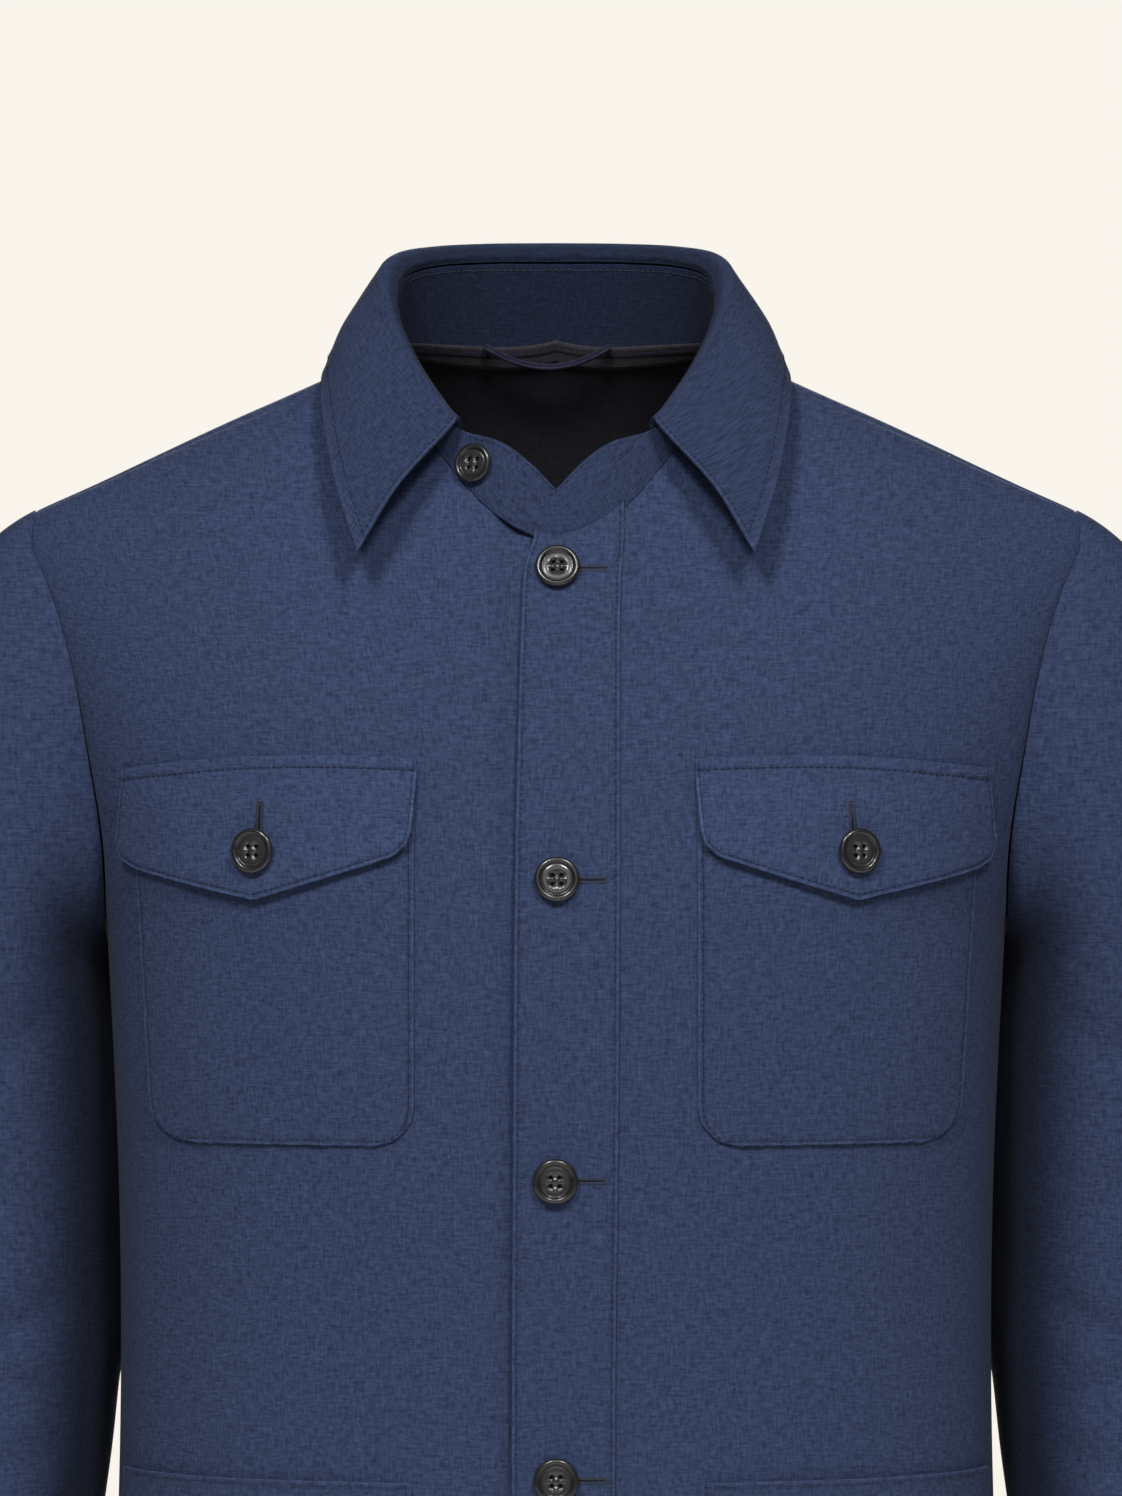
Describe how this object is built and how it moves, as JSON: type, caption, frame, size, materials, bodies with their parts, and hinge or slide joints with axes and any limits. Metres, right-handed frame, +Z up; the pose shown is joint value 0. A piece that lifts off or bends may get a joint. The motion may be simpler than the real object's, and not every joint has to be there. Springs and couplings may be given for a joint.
{
  "type": "safari jacket",
  "caption": "Navy linen safari jacket, hollow as if worn, with shirt collar, button placket, flap chest pockets and large patch pockets.",
  "frame": {"origin": "centre of the neck, level with the top of the shoulders at the side of the collar, where the wearer's neck and shoulders hold the jacket", "axes": "+Z up along the body, -Y out of the front, +X towards the wearer's left"},
  "size_m": [0.6136, 0.2506, 0.8136],
  "materials": {
    "linen_cloth": "matte plain weave with slubs",
    "lining_cloth": "smooth matte lining",
    "horn_button": "polished"
  },
  "bodies": {
    "root": {"back": "linen_cloth", "front_left": "linen_cloth", "front_right": "linen_cloth", "top_sleeve_left": "linen_cloth", "under_sleeve_left": "linen_cloth", "top_sleeve_right": "linen_cloth", "under_sleeve_right": "linen_cloth", "collar_stand": "linen_cloth", "collar_leaf": "linen_cloth", "placket": "linen_cloth", "chest_pocket_left": "linen_cloth", "chest_pocket_right": "linen_cloth", "chest_flap_left": "linen_cloth", "chest_flap_right": "linen_cloth", "lower_pocket_left": "linen_cloth", "lower_pocket_right": "linen_cloth", "back_lining": "lining_cloth", "hanger_loop": "lining_cloth", "placket_button_1": "horn_button", "placket_button_2": "horn_button", "placket_button_3": "horn_button", "placket_button_4": "horn_button", "placket_button_5": "horn_button", "flap_button_left": "horn_button", "flap_button_right": "horn_button", "collar_button": "horn_button"}
  },
  "joints": []
}
